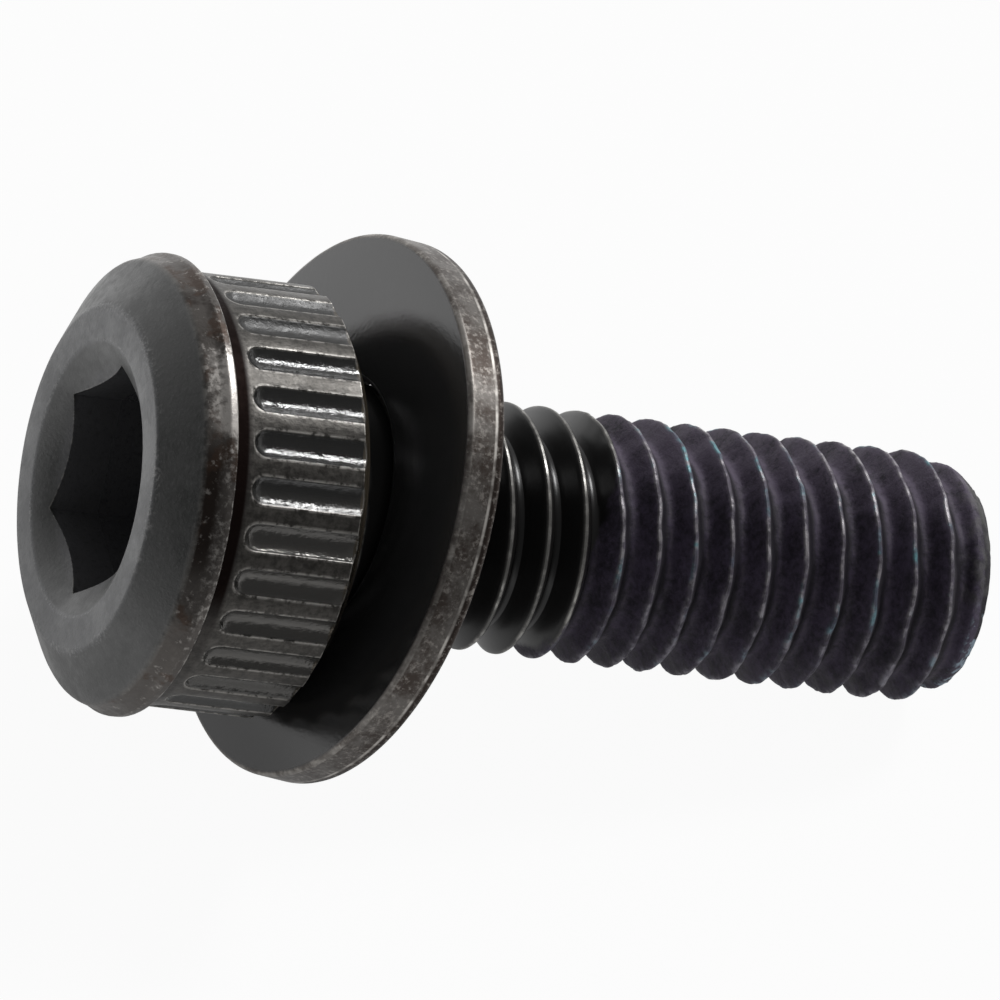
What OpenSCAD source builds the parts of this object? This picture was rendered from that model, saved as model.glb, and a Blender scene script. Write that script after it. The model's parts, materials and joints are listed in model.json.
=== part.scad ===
// Small machine bolt: a round flanged head with a fluted neck and a hexagon socket, a threaded
// shank and one loose washer. It lies on the washer's rim and the end of the thread, with the
// washer leaning against the head's seat.

/* [Head] */
// Height of the head, from its flat face to the seat
head_h = 4.4; // [4:0.05:7]
// Diameter of the flat face round the socket
face_d = 6.86; // [6.4:0.02:7.6]
// Diameter of the crease where the conical crown meets the rim
crease_d = 8.86; // [8.6:0.02:9]
// Height of the crease above the flat face
crease_h = 0.64; // [0.5:0.02:0.9]
// Radius of the round at the crease
crease_round = 0.3; // [0.1:0.02:0.5]
// Largest diameter of the flange, at its back
flange_d = 9.22; // [9.1:0.02:9.8]
// Thickness of the flange
flange_h = 1.27; // [1.1:0.01:1.8]
// Diameter of the fluted neck
neck_d = 8.65; // [8.2:0.05:8.9]
// Height of the chamfer at the neck's end
neck_chamfer_h = 0.3; // [0.2:0.05:0.6]
// Width of the chamfer at the neck's end
neck_chamfer_w = 0.44; // [0.2:0.02:0.6]

/* [Flutes] */
// Number of flutes round the neck
flute_count = 29; // [20:1:32]
// Width of a flute at the neck's surface
flute_w = 0.6; // [0.3:0.05:0.7]
// Depth of a flute
flute_depth = 0.15; // [0.08:0.01:0.25]
// Plain band between the flange and the flutes' round ends
flute_land = 0.45; // [0.1:0.05:0.8]
// Turn of the flutes about the axis
flute_turn = 11.95; // [0:0.05:12]

/* [Socket] */
// Width of the hexagon socket across its flats
socket_flats = 4.08; // [3:0.02:4.5]
// Depth of the hexagon
socket_depth = 2.5; // [2:0.1:3]
// How far the countersunk mouth reaches past the hexagon's corners
mouth_margin = 0.41; // [0.1:0.01:0.5]
// Full angle of the mouth's countersink
mouth_angle = 120; // [90:5:130]
// Step from the flats in to the edge of the drilled point
pilot_step = 0.2; // [0.1:0.05:0.5]
// Full angle of the drilled point at the socket's floor
pilot_angle = 120; // [100:5:140]
// Turn of the socket about the axis
socket_turn = 28.9; // [0:0.1:60]

/* [Shank] */
// Major diameter of the thread
thread_d = 5; // [4.8:0.1:5.4]
// Length from the seat to the tip
shank_len = 14.35; // [10:0.05:30]
// Length of the plain neck under the head
runout_plain = 0.8; // [0.6:0.1:1.4]
// Length of the whole run-out, up to the full thread
runout_len = 2.6; // [2.4:0.1:4]
// Depth of the plain neck below the thread's crests
runout_depth = 0.26; // [0.05:0.01:0.4]
// Fillet between the seat and the run-out
seat_fillet = 0.2; // [0.1:0.05:0.3]
// Length of the chamfer at the tip
tip_chamfer_len = 0.75; // [0.4:0.05:1.2]
// Depth of the chamfer at the tip
tip_chamfer_depth = 0.4; // [0.2:0.05:0.8]

/* [Washer] */
// Outer diameter of the washer
washer_d = 11; // [10:0.1:13]
// Thickness of the washer
washer_t = 0.85; // [0.6:0.05:1.2]
// Difference between the washer's hole and the thread
washer_clearance = 0.2; // [0.2:0.05:0.8]
// Radius of the washer's edges
washer_edge_r = 0.12; // [0.05:0.01:0.25]
// Lean of the loose washer from square to the axis
washer_lean = 9; // [4:0.1:10]
// Gap left between the seat's edge and the leaning washer
seat_gap = 0.02; // [0.01:0.01:0.1]

/* [Hidden] */
$fn = 96;

// Head, measured from the seat at z = 0 towards the face at z = -head_h
face_r = face_d / 2;
flange_r = flange_d / 2;
neck_r = neck_d / 2;
neck_h = head_h - flange_h;
seat_r = neck_r - neck_chamfer_w;

// Corners of the flange's section, and the round that fits the crease
face_edge = [face_r, -head_h];
crease = [crease_d / 2, crease_h - head_h];
rim_back = [flange_r, -neck_h];
crown_way = (crease - face_edge) / norm(crease - face_edge);
rim_way = (rim_back - crease) / norm(rim_back - crease);
crease_turn = acos(crown_way * rim_way);
round_reach = crease_round * tan(crease_turn / 2);
round_start = crease - crown_way * round_reach;
round_end = crease + rim_way * round_reach;
round_centre = round_start + crease_round * [-crown_way.y, crown_way.x];

// Ball-nosed cutter that leaves a flute of the given width and depth
flute_cut_r = (pow(flute_w / 2, 2) + pow(flute_depth, 2)) / (2 * flute_depth);
flute_cut_at = neck_r - flute_depth + flute_cut_r;
flute_start = -neck_h + flute_land + flute_w / 2;

// Socket
socket_corner_r = socket_flats / 2 / cos(30);
mouth_r = socket_corner_r + mouth_margin;
pilot_r = socket_flats / 2 - pilot_step;

// Shank
thread_r = thread_d / 2;
runout_r = thread_r - runout_depth;
thread_end = shank_len - tip_chamfer_len;
tip_r = thread_r - tip_chamfer_depth;

// Washer, leaning with its upper side towards the tip until its face meets the seat's edge
washer_r = washer_d / 2;
washer_mid = seat_r * tan(washer_lean) + (seat_gap + washer_t / 2) / cos(washer_lean);

// Middle of the small round at the washer's edge, out from its axis and up from its mid plane
edge_out = washer_r - washer_edge_r;
edge_up = washer_t / 2 - washer_edge_r;

// The washer's hole, never so small that the leaning washer would cut into the thread
clear_r = (thread_r + seat_gap / 2 + washer_edge_r + edge_up * sin(washer_lean)) / cos(washer_lean) - washer_edge_r;
washer_hole_r = max((thread_d + washer_clearance) / 2, clear_r);

// Where the washer's lower edge lies, below and along the axis
edge_below = edge_out * cos(washer_lean) + edge_up * sin(washer_lean);
edge_along = washer_mid - edge_out * sin(washer_lean) + edge_up * cos(washer_lean);

// Tilt of the axis when the washer's lower edge and the thread's end lie on one level
drop = edge_below - thread_r;
span = thread_end - edge_along;
lie_tilt = acos(-washer_edge_r / norm([drop, span])) - atan2(span, drop);

// Place of the seat's centre when the whole bolt is centred above the origin
seat_height = thread_end * sin(lie_tilt) + thread_r * cos(lie_tilt);
front_x = shank_len * cos(lie_tilt) + tip_r * sin(lie_tilt);
back_x = -head_h * cos(lie_tilt) - face_r * sin(lie_tilt);
seat_x = -(front_x + back_x) / 2;

// Room that every cut runs past the surface it opens
overcut = 0.5;

// Moves a shape from its own axis to the lying bolt
module lie() {
    translate([seat_x, 0, seat_height])
        rotate([0, 90 + lie_tilt, 0])
            children();
}

// Half section of the flange: flat face, conical crown, rounded crease and rim
module flange_section() {
    polygon([[0, -head_h], face_edge, round_start, round_end, rim_back, [0, -neck_h]]);
    translate(round_centre)
        circle(r = crease_round);
}

// Half section of the neck, chamfered down to the seat
module neck_section() {
    polygon([[0, -neck_h], [neck_r, -neck_h], [neck_r, -neck_chamfer_h], [seat_r, 0], [0, 0]]);
}

// Half section of the shank: fillet, run-out, thread blank and tip
module shank_section() {
    difference() {
        square([runout_r + seat_fillet, seat_fillet]);
        translate([runout_r + seat_fillet, seat_fillet])
            circle(r = seat_fillet);
    }
    polygon([
        [0, seat_fillet], [runout_r, seat_fillet], [runout_r, runout_plain], [thread_r, runout_len],
        [thread_r, thread_end], [tip_r, shank_len], [0, shank_len]
    ]);
}

// One flute: a round groove with a ball-shaped end near the flange, open at the seat
module flute() {
    groove_len = overcut - flute_start;
    translate([flute_cut_at, 0, flute_start])
        rotate_extrude() {
            square([flute_cut_r, groove_len]);
            intersection() {
                circle(r = flute_cut_r);
                translate([0, -flute_cut_r])
                    square(flute_cut_r);
            }
        }
}

// Hexagon with a countersunk mouth and a drilled point below its floor
module socket() {
    mouth_depth = mouth_r / tan(mouth_angle / 2);
    overcut_r = overcut * tan(mouth_angle / 2);
    pilot_depth = pilot_r / tan(pilot_angle / 2);
    translate([0, 0, -head_h]) {
        rotate([0, 0, socket_turn])
            cylinder(h = socket_depth, r = socket_corner_r, $fn = 6);
        translate([0, 0, -overcut])
            cylinder(h = mouth_depth + overcut, r1 = mouth_r + overcut_r, r2 = 0);
        translate([0, 0, socket_depth])
            cylinder(h = pilot_depth, r1 = pilot_r, r2 = 0);
    }
}

// The bolt itself, turned and rolled from one blank
module screw() {
    color("#26262a")
        lie()
            difference() {
                rotate_extrude() {
                    flange_section();
                    neck_section();
                    shank_section();
                }
                for (i = [0 : flute_count - 1])
                    rotate([0, 0, flute_turn + i * 360 / flute_count])
                        flute();
                socket();
            }
}

// Half section of the washer about its own axis
module washer_section() {
    width = washer_r - washer_hole_r;
    translate([washer_hole_r, -edge_up])
        square([width, 2 * edge_up]);
    translate([washer_hole_r + washer_edge_r, -washer_t / 2])
        square([width - 2 * washer_edge_r, washer_t]);
    for (along = [washer_hole_r + washer_edge_r, edge_out], side = [-edge_up, edge_up])
        translate([along, side])
            circle(r = washer_edge_r);
}

// The loose washer on the shank
module washer() {
    color("#3a3634")
        lie()
            translate([0, 0, washer_mid])
                rotate([0, washer_lean, 0])
                    rotate_extrude()
                        washer_section();
}

screw();
washer();
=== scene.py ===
# %% [markdown]
# # A small black bolt with a loose washer
#
# The bolt is one piece of steel: a round flanged head with a hexagon socket, a fluted neck, and a
# shank with a rolled thread. A loose washer leans on the shank. This lesson dresses the packed
# model: the CAD solids give every place and size, and here they get a real thread, soft edges,
# wear and finish. Loading the model first gives the frame that everything else is placed in.

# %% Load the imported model
import json
import math
from types import SimpleNamespace

import bmesh
import bpy
from mathutils import Matrix, Vector


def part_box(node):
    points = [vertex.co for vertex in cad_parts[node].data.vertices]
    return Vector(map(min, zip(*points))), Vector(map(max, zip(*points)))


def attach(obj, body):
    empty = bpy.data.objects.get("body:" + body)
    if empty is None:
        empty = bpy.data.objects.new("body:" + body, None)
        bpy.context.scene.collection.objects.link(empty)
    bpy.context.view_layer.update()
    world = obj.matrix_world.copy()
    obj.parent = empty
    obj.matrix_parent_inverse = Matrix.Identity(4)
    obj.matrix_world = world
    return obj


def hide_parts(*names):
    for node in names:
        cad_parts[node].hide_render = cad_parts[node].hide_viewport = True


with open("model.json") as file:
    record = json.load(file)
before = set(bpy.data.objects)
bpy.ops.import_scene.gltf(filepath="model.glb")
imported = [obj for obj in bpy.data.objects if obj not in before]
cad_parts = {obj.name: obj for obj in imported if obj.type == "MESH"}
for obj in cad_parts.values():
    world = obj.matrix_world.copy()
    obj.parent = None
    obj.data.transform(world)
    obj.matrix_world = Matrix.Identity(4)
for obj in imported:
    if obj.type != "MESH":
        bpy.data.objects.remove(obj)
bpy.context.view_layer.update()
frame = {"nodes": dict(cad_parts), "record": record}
places = {mount["name"]: mount for mount in frame["record"]["mounts"]}
axis = Vector(places["thread"]["axis"]).normalized()
face_centre = Vector(places["hex_socket"]["pos_m"])
print("nodes", list(frame["nodes"]), "axis", [round(c, 4) for c in axis])

# %% [markdown]
# ## The bolt's own frame
#
# A turned part is easiest to shape about its own axis, so every piece of the screw is first made
# standing up, in millimetres, with z = 0 at the seat under the head and the tip at the top. One
# matrix, built from the axis and the socket's place in the record, then lays it down where the
# CAD has it. The finished mesh carries its place, and its object stays at the origin.

# %% Sizes in millimetres, and the matrix that lays the bolt down
MM = 0.001
HEAD_H = 4.4
FACE_R = 3.43
CREASE_R = 4.43
CREASE_H = 0.64
FLANGE_R = 4.61
FLANGE_H = 1.27
NECK_R = 4.325
NECK_H = HEAD_H - FLANGE_H
NECK_CHAMFER_H = 0.3
SEAT_R = NECK_R - 0.44
SOCKET_FLATS = 4.08
MOUTH_R = SOCKET_FLATS / 2 / math.cos(math.radians(30)) + 0.41
THREAD_R = places["thread"]["dims"]["r_mm"]

seat = face_centre + axis * (HEAD_H * MM)
side = Vector((0.0, 1.0, 0.0))
under = side.cross(axis)
LIE = Matrix((under, side, axis)).transposed().to_4x4()
LIE.translation = seat
LAY_DOWN = LIE @ Matrix.Scale(MM, 4)

wall_middle = (Vector(places["thread"]["pos_m"]) - seat).dot(axis) / MM
THREAD_END = wall_middle + places["thread"]["dims"]["length_mm"] / 2
TIP_CHAMFER = 0.75
TIP_DEPTH = 0.4
SHANK_LEN = THREAD_END + TIP_CHAMFER
print("seat", [round(c / MM, 3) for c in seat], "shank", round(SHANK_LEN, 3), "mm")

# %% [markdown]
# ## The camera
#
# The photograph was taken with a long lens, a little above the bolt. Three angles say where it
# stood: how far the axis points away from the picture, how much it slopes across it, and which
# side of the bolt faces the lens. From these the picture's own right, down and look directions
# follow, and the head's face is put at its place in the frame.

# %% Place the camera
AXIS_AWAY = math.radians(23.5)
AXIS_SLOPE = math.radians(6.85)
NEAR_TURN = math.radians(-134.55)
LENS_DISTANCE = 600.0
SENSOR = 36.0
IMAGE_PX = 1000
FACE_PX = (86.0, 478.3)
PX_PER_MM = 50.7

near = under * math.cos(NEAR_TURN) + side * math.sin(NEAR_TURN)
look = axis * math.sin(AXIS_AWAY) - near * math.cos(AXIS_AWAY)
across = (axis - look * math.sin(AXIS_AWAY)).normalized()
below = look.cross(across)
right = across * math.cos(AXIS_SLOPE) - below * math.sin(AXIS_SLOPE)
down = across * math.sin(AXIS_SLOPE) + below * math.cos(AXIS_SLOPE)

shift_right = (IMAGE_PX / 2 - FACE_PX[0]) / PX_PER_MM * MM
shift_down = (IMAGE_PX / 2 - FACE_PX[1]) / PX_PER_MM * MM
camera_data = bpy.data.cameras.new("camera")
camera_data.sensor_width = SENSOR
camera_data.lens = SENSOR * LENS_DISTANCE * PX_PER_MM / IMAGE_PX
camera = bpy.data.objects.new("camera", camera_data)
bpy.context.scene.collection.objects.link(camera)
stand = Matrix((right, -down, -look)).transposed().to_4x4()
stand.translation = face_centre + right * shift_right + down * shift_down - look * (LENS_DISTANCE * MM)
camera.matrix_world = stand
bpy.context.scene.camera = camera
print("lens", round(camera_data.lens), "mm, looking", [round(c, 3) for c in look])

# %% [markdown]
# ## Node trees as expressions
#
# Both the shapes and the finishes below are node trees. A long sum of Math nodes is hard to read
# as nodes and easy to read as a formula, so one small class wraps a socket and lets Python's
# operators add the Math nodes. A second class stands for a tree and adds any other node from its
# type, its settings and what goes into its sockets.


# %% A socket that can be calculated with
class Wire:
    """One output socket. Each operator adds a Math node and gives its output."""

    def __init__(self, bench, socket):
        self.bench = bench
        self.socket = socket

    def __add__(self, other):
        return self.bench.math("ADD", self, other)

    def __radd__(self, other):
        return self.bench.math("ADD", other, self)

    def __sub__(self, other):
        return self.bench.math("SUBTRACT", self, other)

    def __rsub__(self, other):
        return self.bench.math("SUBTRACT", other, self)

    def __mul__(self, other):
        return self.bench.math("MULTIPLY", self, other)

    def __rmul__(self, other):
        return self.bench.math("MULTIPLY", other, self)

    def __truediv__(self, other):
        return self.bench.math("DIVIDE", self, other)

    def __rtruediv__(self, other):
        return self.bench.math("DIVIDE", other, self)

    def __gt__(self, other):
        return self.bench.math("GREATER_THAN", self, other)

    def __lt__(self, other):
        return self.bench.math("LESS_THAN", self, other)


# %% A tree that nodes are added to
class Bench:
    """One node tree."""

    def __init__(self, tree):
        self.tree = tree

    def plug(self, socket, value):
        if isinstance(value, Wire):
            self.tree.links.new(value.socket, socket)
        else:
            socket.default_value = value

    def node(self, kind, settings=None, sockets=None, out=0):
        """Adds a node, sets it up, fills its sockets and gives one of its outputs."""
        made = self.tree.nodes.new(kind)
        for name, value in (settings or {}).items():
            setattr(made, name, value)
        for name, value in (sockets or {}).items():
            self.plug(made.inputs[name], value)
        return Wire(self, made.outputs[out]) if made.outputs else made

    def math(self, operation, *values):
        return self.node("ShaderNodeMath", {"operation": operation}, dict(enumerate(values)))

    def root(self, value):
        return self.math("SQRT", value)

    def cosine(self, value):
        return self.math("COSINE", value)

    def sine(self, value):
        return self.math("SINE", value)

    def gap(self, value, middle):
        """How far a value is from a middle, on either side."""
        return self.math("ABSOLUTE", value - middle)

    def least(self, *values):
        return self.math("MINIMUM", *values)

    def most(self, *values):
        return self.math("MAXIMUM", *values)

    def ease(self, value, low, high):
        """Rises smoothly from 0 at low to 1 at high."""
        settings = {"interpolation_type": "SMOOTHSTEP"}
        return self.node("ShaderNodeMapRange", settings, {0: value, 1: low, 2: high})

    def split(self, vector):
        """The three numbers of a vector."""
        first = self.node("ShaderNodeSeparateXYZ", {}, {0: vector})
        return [Wire(self, socket) for socket in first.socket.node.outputs]

    def point(self, x, y, z):
        """A vector from three numbers."""
        return self.node("ShaderNodeCombineXYZ", {}, {0: x, 1: y, 2: z})

    def along(self, vector, direction):
        """How far a vector reaches in a direction."""
        settings = {"operation": "DOT_PRODUCT"}
        return self.node("ShaderNodeVectorMath", settings, {0: vector, 1: direction}, "Value")

    def attribute(self, name):
        """A number that is stored on the mesh's points."""
        return self.node("ShaderNodeAttribute", {"attribute_name": name}, {}, "Fac")

    def noise(self, place, scale, detail=2.0, rough=0.5):
        return self.node("ShaderNodeTexNoise", {}, {
            "Vector": place, "Scale": scale, "Detail": detail, "Roughness": rough})

    def stretch(self, place, across, along):
        """Coordinates for a pattern with its own scale across and along the axis."""
        return self.node("ShaderNodeMapping", {}, {"Vector": place, "Scale": (across, across, along)})

    def blend(self, share, first, second):
        """A colour between two colours."""
        return self.node("ShaderNodeMix", {"data_type": "RGBA"}, {0: share, 6: first, 7: second}, 2)


# %% A geometry tree with named inputs, and how it becomes a plain mesh
def shape_tree(name, inputs):
    """A new geometry tree and the wires of its inputs, by name."""
    tree = bpy.data.node_groups.new(name, "GeometryNodeTree")
    tree.interface.new_socket(name="Geometry", in_out="INPUT", socket_type="NodeSocketGeometry")
    tree.interface.new_socket(name="Geometry", in_out="OUTPUT", socket_type="NodeSocketGeometry")
    for label, value in inputs.items():
        kind = "NodeSocketInt" if isinstance(value, int) else "NodeSocketFloat"
        tree.interface.new_socket(name=label, in_out="INPUT", socket_type=kind)
    bench = Bench(tree)
    entry = tree.nodes.new("NodeGroupInput")
    return bench, {socket.name: Wire(bench, socket) for socket in entry.outputs if socket.name}


def close_tree(bench, geometry, material):
    """Ends a tree: real geometry with its material."""
    real = bench.node("GeometryNodeRealizeInstances", {}, {"Geometry": geometry})
    dressed = bench.node("GeometryNodeSetMaterial", {}, {"Geometry": real, "Material": material})
    leave = bench.tree.nodes.new("NodeGroupOutput")
    bench.plug(leave.inputs[0], dressed)


def grown(name, start, tree, inputs):
    """Runs a tree on a mesh and gives the result as a plain mesh."""
    holder = bpy.data.objects.new(name, start)
    bpy.context.scene.collection.objects.link(holder)
    modifier = holder.modifiers.new(name, "NODES")
    modifier.node_group = tree
    for item in tree.interface.items_tree:
        if item.in_out == "INPUT" and item.name in inputs:
            modifier[item.identifier] = inputs[item.name]
    graph = bpy.context.evaluated_depsgraph_get()
    mesh = bpy.data.meshes.new_from_object(holder.evaluated_get(graph), depsgraph=graph)
    bpy.data.objects.remove(holder)
    print(name, len(mesh.vertices), "points", len(mesh.polygons), "faces")
    return mesh


# %% [markdown]
# ## Finishes
#
# Everything is steel with a thin black oxide. New oxide is nearly black and a little glossy. Where
# the bolt has rubbed on others, on the flange's rim and the washer's edge, the oxide has gone and
# brown-grey steel shows. The thread's outer part carries a dry purple-black locking coat. Painted
# pictures would need unwrapping, so the finishes are made of noises and masks instead. Each reads
# the bolt's own frame through a Mapping node, so a mask can say "on the neck" or "near the crease"
# in millimetres, and attributes on the meshes show where corners have rubbed bright.

# %% Helpers for the finishes
BUMP_DEPTH = 0.02 * MM


def start_finish(name):
    """A new material, its tree, and the bolt's own coordinates in millimetres."""
    material = bpy.data.materials.new(name)
    material.use_nodes = True
    material.node_tree.nodes.clear()
    bench = Bench(material.node_tree)
    turn = LIE.to_3x3().transposed()
    place = bench.node("ShaderNodeTexCoord", {}, {}, "Object")
    local = bench.node("ShaderNodeMapping", {"vector_type": "POINT"}, {
        "Vector": place,
        "Location": turn @ (seat / -MM),
        "Rotation": turn.to_euler(),
        "Scale": (1 / MM, 1 / MM, 1 / MM)})
    return material, bench, local


def end_finish(material, bench, layers, share=None):
    """Closes a material with one bumped Principled shader, or with two and the share of the second."""
    shaders = []
    for height, strength, sockets in layers:
        bump = bench.node("ShaderNodeBump", {}, {
            "Strength": strength, "Distance": BUMP_DEPTH, "Height": height})
        shaders.append(bench.node("ShaderNodeBsdfPrincipled", {}, dict(sockets, Normal=bump)))
    surface = shaders[0]
    if share is not None:
        surface = bench.node("ShaderNodeMixShader", {}, {0: share, 1: shaders[0], 2: shaders[1]})
    bench.node("ShaderNodeOutputMaterial", {}, {"Surface": surface})
    return material


def facing(x, y, radius, lift):
    """Cosine of the angle to a line along the bolt, lift degrees above the side towards the lens."""
    angle = NEAR_TURN - math.radians(lift)
    return (x * math.cos(angle) + y * math.sin(angle)) / radius


# %% [markdown]
# ### The head
#
# The head's oxide is mottled, and paler on its flat face. The rim has worn to brown-grey steel with
# stains and a little rust, one part of it is rubbed bright, and the lands between the flutes are
# satin. Some of its colour is painted light: fill in the socket, a sheen on the flutes' lower side,
# shade in the corner under the flange and a highlight along the crease. One long formula would be
# hard to follow, so this finish is made in layers: the patterns and the places on the head come
# first, then the oxide, then the worn rim, and the lands and the bright edges go on top of both.

# %% Colours of the head
OXIDE_BLACK = (0.013, 0.0145, 0.013, 1)
OXIDE_GREY = (0.034, 0.035, 0.034, 1)
FACE_BLACK = (0.054, 0.056, 0.060, 1)
FACE_GREY = (0.086, 0.088, 0.092, 1)
# painted fill light for the dim inside of the socket
SOCKET_FILL_GREY = (0.075, 0.075, 0.080, 1)
GRAIN_PALE = (0.095, 0.096, 0.098, 1)
GRAIN_DARK = (0.010, 0.011, 0.010, 1)
FLUTE_BLACK = (0.014, 0.014, 0.013, 1)
FLUTE_SHEEN_GREY = (0.110, 0.106, 0.100, 1)
WORN_STEEL = (0.115, 0.104, 0.096, 1)
STAINED_STEEL = (0.027, 0.018, 0.014, 1)
RUST = (0.070, 0.040, 0.026, 1)
SILVER = (0.58, 0.55, 0.52, 1)
CREASE_HIGHLIGHT_STEEL = (0.20, 0.19, 0.18, 1)
CREASE_HIGHLIGHT_PALE = (0.17, 0.165, 0.155, 1)
LAND_DARK = (0.040, 0.037, 0.033, 1)
LAND_PALE = (0.108, 0.101, 0.092, 1)
FLECK_GREY = (0.30, 0.30, 0.30, 1)
CORNER_SHADE_BLACK = (0.014, 0.009, 0.008, 1)
CHAMFER_BROWN = (0.085, 0.070, 0.050, 1)
EDGE_STEEL = (0.52, 0.50, 0.47, 1)


# %% Patterns and places on the head
def head_patterns(bench, local):
    """Noises by name, from broad clouds to fine grain."""
    noise = SimpleNamespace(
        cloud=bench.noise(local, 0.9, 5.0, 0.6),
        patch=bench.noise(local, 0.95, 4.0, 0.62),
        rust=bench.noise(local, 1.6, 3.0, 0.6),
        fleck=bench.noise(local, 5.5, 3.0, 0.6),
        grain=bench.noise(local, 13.0, 3.0, 0.65),
        scratch=bench.noise(bench.stretch(local, 7.0, 2.2), 1.0, 5.0, 0.72))
    noise.mottle = bench.ease(noise.cloud * 0.6 + noise.fleck * 0.4, 0.36, 0.62)
    return noise


def head_places(bench, local):
    """Masks by name, from 0 to 1, for the parts of the head and for sides of it."""
    x, y, s = bench.split(local)
    radius = bench.root(x * x + y * y)
    face, crease, flange_back = -HEAD_H, CREASE_H - HEAD_H, -NECK_H

    def on_side(lift, low, high):
        return bench.ease(facing(x, y, radius, lift), low, high)

    at = SimpleNamespace()
    at.outside = bench.ease(radius, NECK_R - 0.3, NECK_R - 0.2)
    at.face = 1 - bench.ease(s, face + 0.015, face + 0.05)
    at.socket = (1 - bench.ease(radius, 2.36, 2.42)) * bench.ease(s, face + 0.25, face + 0.40)
    at.crease = 1 - bench.ease(bench.gap(s, crease), 0.01, 0.07)
    at.neck = bench.ease(s, flange_back, flange_back + 0.03)
    at.rim = bench.ease(s, crease - 0.05, crease + 0.06) * at.outside * (1 - at.neck)
    at.rim_back = at.rim * bench.ease(s, flange_back - 0.42, flange_back - 0.16)
    at.land = at.neck * bench.ease(radius, NECK_R - 0.045, NECK_R - 0.012)
    at.flute = at.neck * (1 - at.land) * at.outside
    at.chamfer = bench.ease(s, -NECK_CHAMFER_H, 0.04 - NECK_CHAMFER_H) * bench.ease(radius, 3.6, 3.8)

    ring_edge = 1 - bench.ease(bench.gap(radius, FACE_R), 0.02, 0.18)
    mouth_edge = 1 - bench.ease(bench.gap(radius, MOUTH_R), 0.01, 0.06)
    at.front_edges = bench.most(ring_edge, mouth_edge) * (1 - bench.ease(s, face + 0.10, face + 0.20))
    # painted shade: the neck's first part under the flange, less dark on the low side
    at.corner = at.neck * at.outside * (1 - bench.ease(s, flange_back + 0.30, flange_back + 0.44))
    at.corner = at.corner * (1 - on_side(-64, 0.78, 0.96) * 0.7)
    at.stain = on_side(-4, 0.93, 0.99) * (1 - bench.ease(s, -3.52, -3.34))
    at.rubbed = on_side(27, 0.972, 0.999)
    at.rubbed_spot = at.rubbed * at.rim * bench.ease(s, flange_back - 0.62, flange_back - 0.34)
    at.near_side = on_side(5, 0.70, 0.90)
    # the flutes' painted sheen lies on this side, below the side towards the lens
    at.low_side = on_side(-34, 0.76, 0.94)
    at.top_side = on_side(66, 0.90, 0.975)
    return at


# %% The oxide, and the worn rim
def oxide_tone(bench, noise, at):
    """Colour of the oxide where nothing has rubbed it, with painted fill light in the socket and a
    painted sheen on the flutes' lower side.
    """
    tone = bench.blend(noise.mottle, OXIDE_BLACK, OXIDE_GREY)
    tone = bench.blend(at.face, tone, bench.blend(noise.mottle, FACE_BLACK, FACE_GREY))
    # painted fill light: the socket's inside is painted paler than the oxide
    tone = bench.blend(at.socket, tone, SOCKET_FILL_GREY)
    tone = bench.blend(bench.ease(noise.grain, 0.52, 0.74) * 0.35, tone, GRAIN_PALE)
    tone = bench.blend(bench.ease(noise.grain, 0.48, 0.26) * 0.5, tone, GRAIN_DARK)
    # painted sheen: on their lower side the flutes are painted grey instead of black
    return bench.blend(at.flute, tone, bench.blend(at.low_side, FLUTE_BLACK, FLUTE_SHEEN_GREY))


def rim_tone(bench, noise, at):
    """Colour of the rim: worn steel with stains, rust and patches and specks of silver, and a painted
    highlight along the crease.
    """
    stained = bench.most(at.stain, 1 - bench.ease(noise.patch, 0.30, 0.46))
    tone = bench.blend(stained, WORN_STEEL, STAINED_STEEL)
    tone = bench.blend(bench.ease(noise.rust, 0.52, 0.64) * 0.7, tone, RUST)
    patches = bench.ease(noise.patch * 0.7 + noise.fleck * 0.3 + at.rubbed * 0.36, 0.58, 0.76)
    flecks = bench.ease(noise.fleck * 0.6 + noise.grain * 0.4 + at.rubbed * 0.06, 0.56, 0.66)
    spot = bench.ease(noise.fleck * 0.5 + noise.patch * 0.5, 0.38, 0.54)
    specks = bench.ease(noise.fleck * 0.5 + noise.grain * 0.5, 0.46, 0.60)
    silver = at.rim_back * patches * 0.85 + at.rim * flecks * 0.45
    silver = silver + at.rubbed_spot * spot * 0.9 + at.rim_back * at.near_side * specks * 0.35
    tone = bench.blend(bench.least(silver, 1.0), tone, SILVER)
    # painted highlight along the crease, broken by patches
    return bench.blend(at.crease * bench.ease(noise.patch, 0.40, 0.60) * 0.3, tone, CREASE_HIGHLIGHT_STEEL)


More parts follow.
